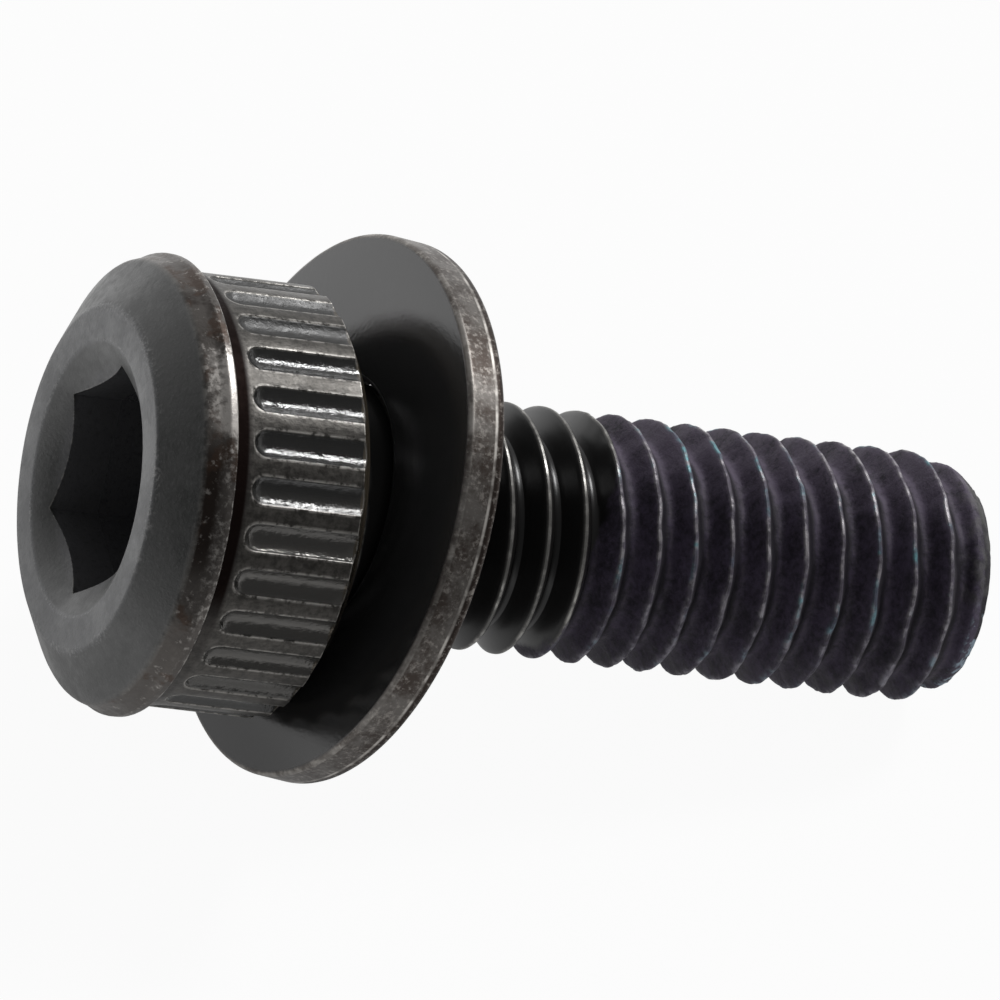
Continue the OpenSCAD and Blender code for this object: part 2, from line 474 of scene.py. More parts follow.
# %% The whole head, with satin lands and bright edges
def head_oxide():
    material, bench, local = start_finish("head_oxide")
    noise = head_patterns(bench, local)
    at = head_places(bench, local)
    tone = bench.blend(at.rim * 0.9, oxide_tone(bench, noise, at), rim_tone(bench, noise, at))
    brushed = bench.ease(noise.scratch * 0.30 + noise.fleck * 0.40 + noise.grain * 0.30, 0.38, 0.62)
    tone = bench.blend(at.land, tone, bench.blend(brushed, LAND_DARK, LAND_PALE))
    flecked = at.front_edges * bench.ease(noise.patch, 0.38, 0.62)
    flecked = flecked * bench.ease(noise.fleck * 0.4 + noise.grain * 0.6, 0.48, 0.62)
    tone = bench.blend(flecked * 0.8, tone, FLECK_GREY)
    # a pale line along the crease: painted highlight on partly rubbed steel
    crease_highlight = bench.ease(noise.patch * 0.5 + noise.fleck * 0.5, 0.40, 0.56)
    tone = bench.blend(at.crease * at.outside * crease_highlight * 0.4, tone, CREASE_HIGHLIGHT_PALE)
    # painted shade in the corner under the flange
    tone = bench.blend(at.corner, tone, CORNER_SHADE_BLACK)
    tone = bench.blend(at.chamfer * 0.9, tone, CHAMFER_BROWN)

    rub_share = 0.4 + at.rim * (0.3 + at.rubbed * 0.6) + at.neck * 0.6
    rub_break = bench.ease(noise.grain * 0.4 + noise.fleck * 0.6 + at.neck * 0.05, 0.46, 0.60)
    bright = bench.attribute("edge") * rub_break * bench.least(rub_share, 1.0)
    metal = bench.most(at.rim * 0.8, at.land * 0.7)
    # the flutes' painted sheen on the lower side is also made metallic
    metal = bench.most(metal, at.flute * at.low_side * 0.7)
    # the painted shade in the corner is metallic too
    metal = bench.most(metal, at.corner)
    rough = 0.34 + noise.mottle * 0.16 - at.neck * 0.28 + at.land * 0.26
    rough = rough + at.corner * 0.25 + at.flute * at.top_side * 0.30
    height = noise.grain + noise.scratch * at.land * 0.6 + noise.fleck * at.flute * 3.0
    return end_finish(material, bench, [(height, 0.35, {
        "Base Color": bench.blend(bright, tone, EDGE_STEEL),
        "Metallic": bench.most(metal, bright * 0.9),
        "Roughness": rough,
        "IOR": 1.7})])


# %% [markdown]
# ### The thread's coat
#
# The first turns are bare, glossy oxide. Then comes the locking coat, which was put on wet and has
# dried: it starts at a ragged line, it is matt and grainy, and the crests have rubbed through it to
# pale lines with a trace of blue-green. All of this follows the helix. So the finish works out how
# far each point is past the crest, with the same waver that the mesh has, and mixes two shaders,
# one for the oxide and one for the coat, at the coat's edge.

# %% Colours of the thread
BARE_BLACK = (0.012, 0.0115, 0.0115, 1)
BARE_CREST = (0.38, 0.37, 0.35, 1)
COAT_DARK = (0.020, 0.016, 0.026, 1)
COAT_PALE = (0.082, 0.064, 0.108, 1)
COAT_TOP_SHEEN = (0.145, 0.118, 0.170, 1)
COAT_ROOT_SHADE = (0.010, 0.008, 0.013, 1)
ROOT_LINE_HIGHLIGHT = (0.14, 0.12, 0.15, 1)
TIP_GREY = (0.13, 0.13, 0.12, 1)
TIP_GLINT = (0.40, 0.52, 0.62, 1)
CREST_GREY = (0.42, 0.40, 0.42, 1)
CREST_TEAL = (0.17, 0.38, 0.42, 1)
CREST_SHADE = (0.20, 0.19, 0.24, 1)

# %% Where the crests, the roots and the coat are
COAT_START = 5.8
COAT_SLANT = 0.42
COAT_RAGGED = 0.35
PITCH = 0.8
CREST_PLACE = 0.053
CREST_WAVER = 0.14


def crest_waver(bench, cosine, sine, s):
    """How far the coated crest strays along the axis, in millimetres."""
    spot = bench.point(cosine * THREAD_R, sine * THREAD_R, s)
    begun = bench.ease(s, COAT_START - 0.2, COAT_START + 0.6)
    coated = begun * bench.ease(s, SHANK_LEN - 0.1, THREAD_END)
    return (bench.noise(spot, 1.2, 1.0) - 0.5) * CREST_WAVER * coated


def thread_places(bench, local):
    """Masks by name, from 0 to 1, for the parts of the thread and for sides of it."""
    x, y, s = bench.split(local)
    radius = bench.root(x * x + y * y)
    turn = bench.math("ARCTAN2", y, x) / math.tau
    waver = crest_waver(bench, x / radius, y / radius, s)
    past_crest = bench.math("FRACT", (s - waver - CREST_PLACE) / PITCH - turn)
    off_crest = bench.math("ABSOLUTE", bench.math("WRAP", past_crest, 0.5, -0.5)) * PITCH
    low = facing(x, y, radius, -90)
    ragged = bench.noise(local, 2.2, 4.0, 0.6) - 0.5

    at = SimpleNamespace()
    at.coat = bench.ease(s - (COAT_START - low * COAT_SLANT + ragged * COAT_RAGGED), -0.05, 0.05)
    # the upper side, where the coat carries a painted sheen
    at.top = bench.ease(low, -0.30, -0.90)
    at.underside = bench.ease(low, 0.0, 0.8)
    crest_width = 0.07 + at.underside * at.coat * 0.05
    at.crest = 1 - bench.ease(off_crest, 0.015, crest_width)
    at.crest = at.crest * bench.ease(radius, THREAD_R - 0.16, THREAD_R - 0.08)
    # where the coat gets painted shade, in the root just past each crest
    at.root = bench.ease(past_crest, 0.03, 0.10) * (1 - bench.ease(past_crest, 0.40, 0.52))
    # a faint painted highlight line where the root turns into the next flank
    at.root_line = 1 - bench.ease(bench.gap(past_crest, 0.54), 0.015, 0.06)
    at.tip_side = bench.ease(s, THREAD_END + 0.10, THREAD_END + 0.40)
    at.tip_side = at.tip_side * bench.ease(facing(x, y, radius, 30), 0.65, 0.95)
    at.tip_under = bench.ease(s, SHANK_LEN - 0.34, SHANK_LEN - 0.18) * bench.ease(low, 0.10, 0.5)
    return at


# %% The coat, and the whole thread
def coat_tone(bench, noise, at):
    """Colour of the coat: grainy, with a painted sheen on top, painted shade in the roots and a painted
    highlight line past them, rubbed at the tip.
    """
    grainy = bench.ease(noise.grain * 0.6 + noise.cloud * 0.4, 0.36, 0.64)
    sheen_breakup = bench.ease(noise.grain * 0.5 + noise.cloud * 0.5, 0.30, 0.58)
    tone = bench.blend(grainy, COAT_DARK, COAT_PALE)
    # painted sheen: the coat's upper side is painted paler, broken by noise
    tone = bench.blend(at.top * sheen_breakup * 0.8, tone, COAT_TOP_SHEEN)
    # painted shade: the roots are painted near black
    tone = bench.blend(at.root * 0.9, tone, COAT_ROOT_SHADE)
    # painted highlight line past the root, broken by noise
    tone = bench.blend(at.root_line * noise.broken * 0.35, tone, ROOT_LINE_HIGHLIGHT)
    tone = bench.blend(at.tip_side * bench.ease(noise.streak, 0.40, 0.60) * 0.5, tone, TIP_GREY)
    return bench.blend(at.tip_under * bench.ease(noise.streak, 0.46, 0.55) * 0.8, tone, TIP_GLINT)


def thread_finish():
    material, bench, local = start_finish("thread_finish")
    at = thread_places(bench, local)
    noise = SimpleNamespace(
        cloud=bench.noise(local, 1.1, 4.0, 0.6),
        streak=bench.noise(local, 3.2, 4.0, 0.6),
        grain=bench.noise(local, 7.0, 5.0, 0.75))
    noise.broken = bench.ease(noise.streak, 0.42, 0.64)
    crest_tone = bench.blend(bench.ease(noise.cloud, 0.52, 0.62), CREST_GREY, CREST_TEAL)
    crest_tone = bench.blend(at.underside * 0.7, crest_tone, CREST_SHADE)
    bare_crest = at.crest * (0.40 + noise.broken * 0.60)
    worn_crest = at.crest * (0.14 + noise.broken * 0.76)
    bare = (noise.cloud, 0.05, {
        "Base Color": bench.blend(bare_crest, BARE_BLACK, BARE_CREST),
        "Metallic": bare_crest * 0.9,
        "Roughness": 0.28 + at.crest * 0.08,
        "IOR": 1.45})
    coated = (noise.grain, 1.0, {
        "Base Color": bench.blend(worn_crest, coat_tone(bench, noise, at), crest_tone),
        "Metallic": worn_crest * 0.7,
        "Roughness": 0.66 - worn_crest * 0.28,
        "IOR": 1.45})
    return end_finish(material, bench, [bare, coated], at.coat)


# %% [markdown]
# ### The washer's faces and rim
#
# The washer's faces are glossy black. Its rim was cut by a punch and has worn to brown-grey steel
# with fine bright specks. A bright line near its back and one along its front edge are painted
# highlights on partly worn steel, broken by noise, the rolled edge behind the back line is painted
# dark as shade, and the hole's wall is painted near black as shade. The washer leans, so the bolt's
# own frame can't tell its rim from its faces. Attributes that are stored on its mesh do: its rim, its
# hole, and the place across its thickness.

# %% The washer's finish
WASHER_BLACK = (0.024, 0.024, 0.0245, 1)
WASHER_GREY = (0.034, 0.034, 0.0345, 1)
HOLE_SHADE_BLACK = (0.006, 0.006, 0.006, 1)
CUT_BROWN = (0.058, 0.045, 0.038, 1)
CUT_GREY = (0.155, 0.144, 0.134, 1)
CUT_SPECK = (0.40, 0.37, 0.34, 1)
CUT_HIGHLIGHT = (0.66, 0.63, 0.59, 1)
ROLLED_EDGE_SHADE = (0.030, 0.021, 0.017, 1)


def cut_tone(bench, local, patch, grain):
    """Colour of the washer's rim, from its front edge to the rolled edge behind, with painted highlight
    lines and painted shade on the rolled edge.
    """
    fleck = bench.noise(local, 5.0, 3.0, 0.6)
    across = bench.attribute("across")
    tone = bench.blend(bench.ease(patch * 0.7 + grain * 0.3, 0.38, 0.60), CUT_BROWN, CUT_GREY)
    # painted shade on the rolled edge behind the back line
    tone = bench.blend(bench.ease(across, 0.52, 0.62), tone, ROLLED_EDGE_SHADE)
    tone = bench.blend(bench.ease(grain * 0.6 + fleck * 0.4, 0.50, 0.63) * 0.5, tone, CUT_SPECK)
    # painted highlight lines near the back and along the worn front edge, broken by noise
    back_highlight_line = 1 - bench.ease(bench.gap(across, 0.47), 0.03, 0.10)
    front = (1 - bench.ease(across, -0.80, -0.62)) * bench.ease(across, -1.0, -0.92)
    bright = bench.most(back_highlight_line, bench.attribute("edge") * front * 0.95)
    rubbing = bench.noise(local, 2.3, 3.0, 0.55)
    broken = 0.15 + bench.ease(rubbing * 0.8 + fleck * 0.2, 0.40, 0.62) * 0.75
    return bench.blend(bright * broken, tone, CUT_HIGHLIGHT)


def washer_finish():
    material, bench, local = start_finish("washer_finish")
    patch = bench.noise(local, 1.2, 4.0, 0.62)
    grain = bench.noise(local, 11.0, 4.0, 0.7)
    at_rim = bench.attribute("rim")
    in_hole = bench.attribute("hole")
    tone = bench.blend(patch, WASHER_BLACK, WASHER_GREY)
    tone = bench.blend(at_rim, tone, cut_tone(bench, local, patch, grain))
    return end_finish(material, bench, [(grain, 0.2, {
        # painted shade: the hole's wall is painted near black
        "Base Color": bench.blend(in_hole, tone, HOLE_SHADE_BLACK),
        "Metallic": at_rim * 0.8,
        "Roughness": 0.15 + at_rim * 0.29 + in_hole * 0.6,
        "IOR": 1.6})])


HEAD_OXIDE = head_oxide()
THREAD_FINISH = thread_finish()
WASHER_FINISH = washer_finish()
print("finishes", [m.name for m in (HEAD_OXIDE, THREAD_FINISH, WASHER_FINISH)])

# %% [markdown]
# ## The thread
#
# A rolled thread is a V that climbs one pitch for each turn. A plain grid that is wrapped round a
# cylinder cuts across the crests and makes them ragged. Here the grid's rows climb with the helix,
# so each row keeps to one height of the V, and the crest stays one line. Geometry Nodes suit this,
# because each point's place is one formula of its row and its turn. Under the head the groove fades
# in. Rows that would pass the ends are held at the end's level and merged. Where the coat lies, the
# crests waver, the roots are filled a little and the surface has small lumps.

# %% The thread's sizes
ROWS_A_TURN = 18
GRID_TURNS = 19
THREAD_SIZES = {
    "Radius": THREAD_R, "Pitch": PITCH, "Depth": 0.49, "Crest half width": 0.045,
    "Crest place": CREST_PLACE, "Start": 0.25, "End": SHANK_LEN,
    "Run-out radius": THREAD_R - 0.26, "Run-out start": 0.3, "Run-out end": 0.6,
    "Groove start": 1.9, "Full thread": 2.9,
    "Coat start": COAT_START, "Coat fill": 0.07, "Coat lumps": 0.09,
    "Thread end": THREAD_END, "Tip chamfer": TIP_DEPTH / TIP_CHAMFER,
    "Rows a turn": ROWS_A_TURN, "Rows": ROWS_A_TURN * GRID_TURNS, "Columns": 160}
FLANK_SLOPE = math.tan(math.radians(60))
CREST_ROUND = 0.06
ROOT_ROUND = 0.08
TIP_ROUND = 0.3
LUMP_TOP = 0.012
ROW_WELD = 0.0005


# %% The thread's tree
def thread_tree():
    bench, size = shape_tree("rolled_thread", THREAD_SIZES)
    pitch = size["Pitch"]
    full = size["Radius"]
    grid = bench.node("GeometryNodeMeshGrid", {}, {
        "Size X": 1.0, "Size Y": 1.0, "Vertices X": size["Rows"], "Vertices Y": size["Columns"] + 1.0})
    x, y, _ = bench.split(bench.node("GeometryNodeInputPosition"))
    turn = y + 0.5
    row = bench.math("ROUND", (x + 0.5) * (size["Rows"] - 1.0))
    climb = size["Start"] - pitch + row * pitch / size["Rows a turn"] + turn * pitch
    round_x = bench.cosine(turn * math.tau)
    round_y = bench.sine(turn * math.tau)
    held = bench.most(bench.least(climb, size["End"]), size["Start"])
    z = held + crest_waver(bench, round_x, round_y, held)

    phase = bench.math("WRAP", (held - size["Crest place"]) / pitch - turn, 0.5, -0.5)
    off_crest = bench.math("ABSOLUTE", phase) * pitch
    flank = (off_crest - size["Crest half width"]) * FLANK_SLOPE
    coated = bench.ease(z, size["Coat start"] - 0.2, size["Coat start"] + 0.4)
    depth = size["Depth"] - size["Coat fill"] * coated
    cut = bench.math("SMOOTH_MAX", flank, 0.0, CREST_ROUND)
    cut = bench.math("SMOOTH_MIN", cut, depth, ROOT_ROUND + coated * ROOT_ROUND)
    cut = cut * bench.ease(z, size["Groove start"], size["Full thread"])

    fade = (z - size["Run-out start"]) / (size["Run-out end"] - size["Run-out start"])
    fade = bench.most(bench.least(fade, 1.0), 0.0)
    blank = size["Run-out radius"] + (full - size["Run-out radius"]) * fade
    tip = full - (z - size["Thread end"]) * size["Tip chamfer"]
    radius = bench.least(blank, bench.math("SMOOTH_MIN", tip, full - cut, TIP_ROUND))
    lumps = bench.noise(bench.point(round_x * full, round_y * full, z), 2.6, 3.0, 0.6) - 0.5
    lumps = lumps * size["Coat lumps"] * coated * (1 + bench.ease(z, size["Thread end"], size["End"]))
    radius = radius + bench.least(lumps, LUMP_TOP)
    place = bench.point(radius * round_x, radius * round_y, z)
    moved = bench.node("GeometryNodeSetPosition", {}, {"Geometry": grid, "Position": place})
    merged = bench.node("GeometryNodeMergeByDistance", {}, {"Geometry": moved, "Distance": ROW_WELD})
    close_tree(bench, merged, THREAD_FINISH)
    return bench.tree


thread_mesh = grown("rolled_thread", bpy.data.meshes.new("thread_start"), thread_tree(), THREAD_SIZES)

# %% [markdown]
# ## The head and its flutes
#
# The head is turned, so its outline is spun round the axis into a blank. The flutes are pressed
# into the neck with round tools: each is a groove with a ball-shaped end towards the flange, and
# it runs out on the chamfer. Cutting them with booleans would leave poor faces, so a tree moves
# the blank's own points instead. It gathers columns at each groove's edges, where the corner needs
# them, and lets the groove's width close in a round at its end.


# %% Spin an outline into a blank
def arc(centre, radius, start, stop, steps):
    """Points on an arc, with angles in degrees."""
    angles = [math.radians(start + (stop - start) * k / steps) for k in range(steps + 1)]
    return [(centre[0] + radius * math.cos(a), centre[1] + radius * math.sin(a)) for a in angles]


def spun(name, outline, columns, start=0.0):
    """A surface of revolution, open at both ends of its outline."""
    mesh = bpy.data.meshes.new(name)
    points = []
    for radius, z in outline:
        for k in range(columns):
            angle = start + math.tau * k / columns
            points.append((radius * math.cos(angle), radius * math.sin(angle), z))
    faces = []
    for row in range(len(outline) - 1):
        for k in range(columns):
            after = (k + 1) % columns
            low = row * columns
            faces.append((low + k, low + after, low + columns + after, low + columns + k))
    mesh.from_pydata(points, [], faces)
    return mesh


# %% The head's outline, from the flat face to the seat
FLUTE_COUNT = 29
FLUTE_W = 0.6
FLUTE_DEPTH = 0.15
FLUTE_LAND = 0.45
FLUTE_TURN = math.radians(11.95)
FLUTE_STEPS = 12
CORNER_STEPS = 6
END_STEPS = 10
NECK_STEPS = 6
CHAMFER_ROWS = (-0.06, 0.0, 0.06, 0.14, 0.22, 0.28, 0.32, 0.36, 0.5, 0.75, 0.93, 1.0)
flute_start = -NECK_H + FLUTE_LAND + FLUTE_W / 2


def eased_corners(corners, steps):
    """An outline through corners (r, z, round), each turned with an arc of its own round."""
    points = [Vector(corners[0][:2])]
    for before, (r, z, size), after in zip(corners, corners[1:], corners[2:]):
        corner = Vector((r, z))
        way_in = (corner - Vector(before[:2])).normalized()
        way_out = (Vector(after[:2]) - corner).normalized()
        turn = way_in.angle_signed(way_out)
        reach = size * math.tan(abs(turn) / 2)
        start, stop = corner - way_in * reach, corner + way_out * reach
        bend = (way_out - way_in).normalized() * (size / math.cos(turn / 2))
        centre = corner + bend
        for k in range(steps + 1):
            spoke = (start - centre).lerp(stop - centre, k / steps).normalized() * size
            points.append(centre + spoke)
    points.append(Vector(corners[-1][:2]))
    return [tuple(p) for p in points]


def head_outline():
    """Points (r, z): flange, plain band, round ends of the flutes, straight neck and chamfer."""
    face = -HEAD_H
    band = flute_start - FLUTE_W / 2
    points = eased_corners([
        (FACE_R - 0.12, face, 0),
        (FACE_R, face, 0.12),
        (CREASE_R, face + CREASE_H, 0.18),
        (FLANGE_R - 0.09, face + 0.94, 0.3),
        (FLANGE_R, face + 1.10, 0.12),
        (FLANGE_R - 0.01, -NECK_H, 0.05),
        (NECK_R, -NECK_H, 0.05),
        (NECK_R, band - 0.03, 0)], CORNER_STEPS)
    for k in range(END_STEPS + 1):
        points.append((NECK_R, flute_start - FLUTE_W / 2 * math.cos(k / END_STEPS * math.pi / 2)))
    straight = -NECK_CHAMFER_H - flute_start
    points += [(NECK_R, flute_start + straight * k / NECK_STEPS) for k in range(1, NECK_STEPS)]
    for share in CHAMFER_ROWS:
        drop = max(share, 0.0)
        points.append((NECK_R + (SEAT_R - NECK_R) * drop, NECK_CHAMFER_H * (share - 1)))
    return points


head_blank = spun("head_blank", head_outline(), FLUTE_COUNT * FLUTE_STEPS)
print("head blank", len(head_blank.vertices), "points")

# %% The flutes' tree
cutter = ((FLUTE_W / 2) ** 2 + FLUTE_DEPTH ** 2) / (2 * FLUTE_DEPTH)
FLUTE_SIZES = {
    "Flutes": FLUTE_COUNT, "Neck radius": NECK_R, "Cutter radius": cutter,
    "Cutter place": NECK_R - FLUTE_DEPTH + cutter, "Start": flute_start, "Turn": FLUTE_TURN,
    "Groove share": 8 / FLUTE_STEPS, "Edge round": 0.045}
COLUMN_NUDGE = 0.0005
CLEAR_OF_NECK = 9.0


def flute_tree():
    bench, size = shape_tree("pressed_flutes", FLUTE_SIZES)
    x, y, z = bench.split(bench.node("GeometryNodeInputPosition"))
    blank = bench.root(x * x + y * y)
    column = bench.math("FRACT", bench.math("ARCTAN2", y, x) / math.tau + 1.0)
    column = column * size["Flutes"] + COLUMN_NUDGE
    inside = bench.math("FRACT", column)
    flute = bench.math("FLOOR", column)
    period = math.tau / size["Flutes"]

    away = bench.most(size["Start"] - z, 0.0)
    place = size["Cutter place"]
    ball = bench.most(size["Cutter radius"] * size["Cutter radius"] - away * away, 0.0)
    reach = bench.least((place * place + blank * blank - ball) / (place * blank * 2.0), 1.0)
    neck = size["Neck radius"]
    full = size["Cutter radius"] * size["Cutter radius"]
    widest = bench.math("ARCCOSINE", (place * place + neck * neck - full) / (place * neck * 2.0))
    half = bench.most(bench.math("ARCCOSINE", reach), widest * 0.3)

    share = size["Groove share"]
    groove_step = bench.sine((inside / share * 2.0 - 1.0) * (math.pi / 2)) * half
    land = (inside - share) / (1.0 - share)
    land_step = half + (0.5 - bench.cosine(land * math.pi) * 0.5) * (period - half * 2.0)
    on_land = inside > share
    step = groove_step + (land_step - groove_step) * on_land
    nearest = bench.math("ABSOLUTE", step)
    nearest = bench.least(nearest, period - nearest)

    chord = place * bench.sine(nearest)
    depth = bench.root(bench.most(ball - chord * chord, 0.0))
    groove = place * bench.cosine(nearest) - depth + (ball < 0.0001) * CLEAR_OF_NECK
    radius = bench.math("SMOOTH_MIN", blank, groove, size["Edge round"])
    angle = size["Turn"] + period * flute + step
    spot = bench.point(radius * bench.cosine(angle), radius * bench.sine(angle), z)
    moved = bench.node("GeometryNodeSetPosition", {}, {"Geometry": size["Geometry"], "Position": spot})
    close_tree(bench, moved, HEAD_OXIDE)
    return bench.tree


head_mesh = grown("fluted_head", head_blank, flute_tree(), FLUTE_SIZES)

# %% [markdown]
# ## The socket, and one closed skin
#
# A countersunk mouth meets the six flats in curved edges: each flat cuts the cone in a hyperbola.
# Rings of points that are all placed at the same angles follow this exactly, because at each angle
# the cone meets the flat at one depth. The rings run from the mouth down the walls to the drilled
# point. Then the head, the thread, the socket and the small fillet under the head are joined, the
# flat rings between them are filled, and the result is one watertight skin.

# %% Rings of the socket
SOCKET_DEPTH = 2.5
SOCKET_TURN = math.radians(28.9)
SOCKET_COLUMNS = 144
MOUTH_SLOPE = math.tan(math.radians(60))
PILOT_R = SOCKET_FLATS / 2 - 0.2
PILOT_DEPTH = PILOT_R / math.tan(math.radians(60))
CORNER = math.radians(60)


def wall_radius(angle):
    """Distance of the hexagon's wall from the axis in one direction."""
    off_flat = (angle - SOCKET_TURN) % CORNER - CORNER / 2
    return SOCKET_FLATS / 2 / math.cos(off_flat)


def socket_rings():
    """Lists of points, from the mouth to the drilled point."""
    angles = [SOCKET_TURN + math.tau * k / SOCKET_COLUMNS for k in range(SOCKET_COLUMNS)]

    def ring(place):
        rows = [place(wall_radius(a)) for a in angles]
        return [(r * math.cos(a), r * math.sin(a), -HEAD_H + d) for a, (r, d) in zip(angles, rows)]

    def cone(r):
        return (r, (MOUTH_R - r) / MOUTH_SLOPE)

    def meets(wall):
        return (MOUTH_R - wall) / MOUTH_SLOPE

    soft = 0.03
    return [
        ring(lambda wall: (MOUTH_R + soft, 0.0)),
        ring(lambda wall: (MOUTH_R + soft * 0.2, soft * 0.2)),
        ring(lambda wall: cone(MOUTH_R - soft)),
        ring(lambda wall: cone((MOUTH_R + wall) / 2)),
        ring(lambda wall: cone(wall + soft)),
        ring(lambda wall: (wall + soft * 0.15, meets(wall) + soft * 0.15)),
        ring(lambda wall: (wall, meets(wall) + soft)),
        ring(lambda wall: (wall, SOCKET_DEPTH * 0.5)),
        ring(lambda wall: (wall, SOCKET_DEPTH)),
        ring(lambda wall: (PILOT_R, SOCKET_DEPTH)),
        ring(lambda wall: (PILOT_R * 0.5, SOCKET_DEPTH + PILOT_DEPTH * 0.5))]


# %% Join everything into one skin
def stitch(shell, first, second):
    """Fills the gap between two rings that may have different numbers of points."""
    def by_angle(ring):
        return sorted(ring, key=lambda v: math.atan2(v.co.y, v.co.x))

    first, second = by_angle(first), by_angle(second)
    a, b = 0, 0
    while a < len(first) or b < len(second):
        here, there = first[a % len(first)], second[b % len(second)]
        if b == len(second) or (a < len(first) and (a + 1) * len(second) <= (b + 1) * len(first)):
            a += 1
            shell.faces.new((here, first[a % len(first)], there))
        else:
            b += 1
            shell.faces.new((here, second[b % len(second)], there))


def open_ring(shell, z):
    """The points of the open edge at one height."""
    loose = {v for e in shell.edges if e.is_boundary for v in e.verts}
    return [v for v in loose if abs(v.co.z - z) < 0.001]


def close_fan(shell, ring, centre):
    """Closes a ring with triangles to one point."""
    middle = shell.verts.new(centre)
    ring = sorted(ring, key=lambda v: math.atan2(v.co.y, v.co.x))
    for k, point in enumerate(ring):
        shell.faces.new((point, ring[(k + 1) % len(ring)], middle))


WELD = 0.0008
SEAT_FILLET = 0.2
fillet_r = THREAD_SIZES["Run-out radius"]
fillet = arc((fillet_r + SEAT_FILLET, SEAT_FILLET), SEAT_FILLET, 270, 180, 5)
fillet.append((fillet_r, THREAD_SIZES["Start"]))
fillet_mesh = spun("seat_fillet", fillet, THREAD_SIZES["Columns"])
fillet_mesh.materials.append(HEAD_OXIDE)

shell = bmesh.new()
for mesh, slot in ((head_mesh, 0), (fillet_mesh, 0), (thread_mesh, 1)):
    before = len(shell.faces)
    shell.from_mesh(mesh)
    shell.faces.ensure_lookup_table()
    for polygon in shell.faces[before:]:
        polygon.material_index = slot
bmesh.ops.remove_doubles(shell, verts=shell.verts[:], dist=WELD)

rings = [[shell.verts.new(point) for point in ring] for ring in socket_rings()]
for upper, lower in zip(rings, rings[1:]):
    for k in range(SOCKET_COLUMNS):
        after = (k + 1) % SOCKET_COLUMNS
        shell.faces.new((upper[k], upper[after], lower[after], lower[k]))
outer_rings = {z: open_ring(shell, z) for z in (-HEAD_H, 0.0, SHANK_LEN)}
mouth = set(rings[0])
stitch(shell, [v for v in outer_rings[-HEAD_H] if v not in mouth], rings[0])
seat_edge = (SEAT_R + fillet_r) / 2
stitch(shell, [v for v in outer_rings[0.0] if v.co.xy.length > seat_edge],
       [v for v in outer_rings[0.0] if v.co.xy.length < seat_edge])
close_fan(shell, rings[-1], (0, 0, -HEAD_H + SOCKET_DEPTH + PILOT_DEPTH))
close_fan(shell, outer_rings[SHANK_LEN], (0, 0, SHANK_LEN))
bmesh.ops.recalc_face_normals(shell, faces=shell.faces[:])
gaps = sum(1 for e in shell.edges if len(e.link_faces) != 2)
print("screw skin", len(shell.faces), "faces", gaps, "open edges, volume", round(shell.calc_volume(), 1))

# %% [markdown]
# ## Where edges rub bright
#
# Oxide wears off corners first. The mesh itself knows where its corners are: the angle between
# neighbouring faces, taken over the area round a point, is the curvature there. A flat gives 0, a
# round of 0.1 mm gives 5, and a hollow gives a negative number. The finishes read this as an
# attribute called edge.


# %% Measure the corners and make the object
SHARP_ANGLE = math.radians(32)


def mark_edges(shell, gentle, sharp):
    """Stores 0 on flats and hollows, rising to 1 on corners."""
    layer = shell.verts.layers.float.new("edge")
    for point in shell.verts:
        turn = sum(e.calc_face_angle_signed(0.0) * e.calc_length() for e in point.link_edges) / 4
        area = sum(f.calc_area() for f in point.link_faces) / 3
        bend = turn / max(area, 1e-6)
        point[layer] = min(max((bend - gentle) / (sharp - gentle), 0.0), 1.0)


def finish_piece(name, shell, materials, matrix):
    """Turns a shell into an object at the origin, shaded smooth between its sharp edges."""
    mesh = bpy.data.meshes.new(name)
    shell.to_mesh(mesh)
    shell.free()
    mesh.transform(matrix)
    for material in materials:
        mesh.materials.append(material)
    mesh.polygons.foreach_set("use_smooth", [True] * len(mesh.polygons))
    mesh.set_sharp_from_angle(angle=SHARP_ANGLE)
    piece = bpy.data.objects.new(name, mesh)
    bpy.context.scene.collection.objects.link(piece)
    return piece


mark_edges(shell, gentle=1.5, sharp=7.0)
bolt_skin = finish_piece("bolt_skin", shell, [HEAD_OXIDE, THREAD_FINISH], LAY_DOWN)
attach(bolt_skin, "root")
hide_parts("screw")
print("bolt_skin", len(bolt_skin.data.polygons), "faces")

# %% [markdown]
# ## The washer
#
# The washer is punched from sheet: two flat faces, a hole, and a rim with small rounds. It is spun
# from its section about its own axis, and laid against the seat with the lean that the record's
# bearing face gives. Three attributes are stored on its points for the finish: how far they are on
# the rim, whether they are in the hole, and where they are across the thickness.

# %% The washer's sizes and place
WASHER_R = 5.5
WASHER_T = 0.85
WASHER_HOLE_R = 2.6
WASHER_EDGE_R = 0.12
WASHER_COLUMNS = 256
RIM_FADE = 0.06
lean = Vector(places["bearing_face"]["axis"]).normalized()
lowest, highest = (Vector(corner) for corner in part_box("washer"))
WASHER_PLACE = Matrix((side.cross(lean), side, lean)).transposed().to_4x4()
WASHER_PLACE.translation = (lowest + highest) / 2
print("washer", [round(c / MM, 3) for c in WASHER_PLACE.translation], "mm")


# %% Spin the washer and lay it in place
def washer_section():
    """The section as a closed loop of points."""
    half = WASHER_T / 2 - WASHER_EDGE_R
    outer = WASHER_R - WASHER_EDGE_R
    inner = WASHER_HOLE_R + WASHER_EDGE_R
    points = arc((outer, -half), WASHER_EDGE_R, -90, 0, 6)
    points += [(WASHER_R, half * k / 8) for k in range(-7, 8)]
    points += arc((outer, half), WASHER_EDGE_R, 0, 90, 6)
    points += arc((inner, half), WASHER_EDGE_R, 90, 180, 6)
    points += arc((inner, -half), WASHER_EDGE_R, 180, 270, 6)
    return points + points[:1]


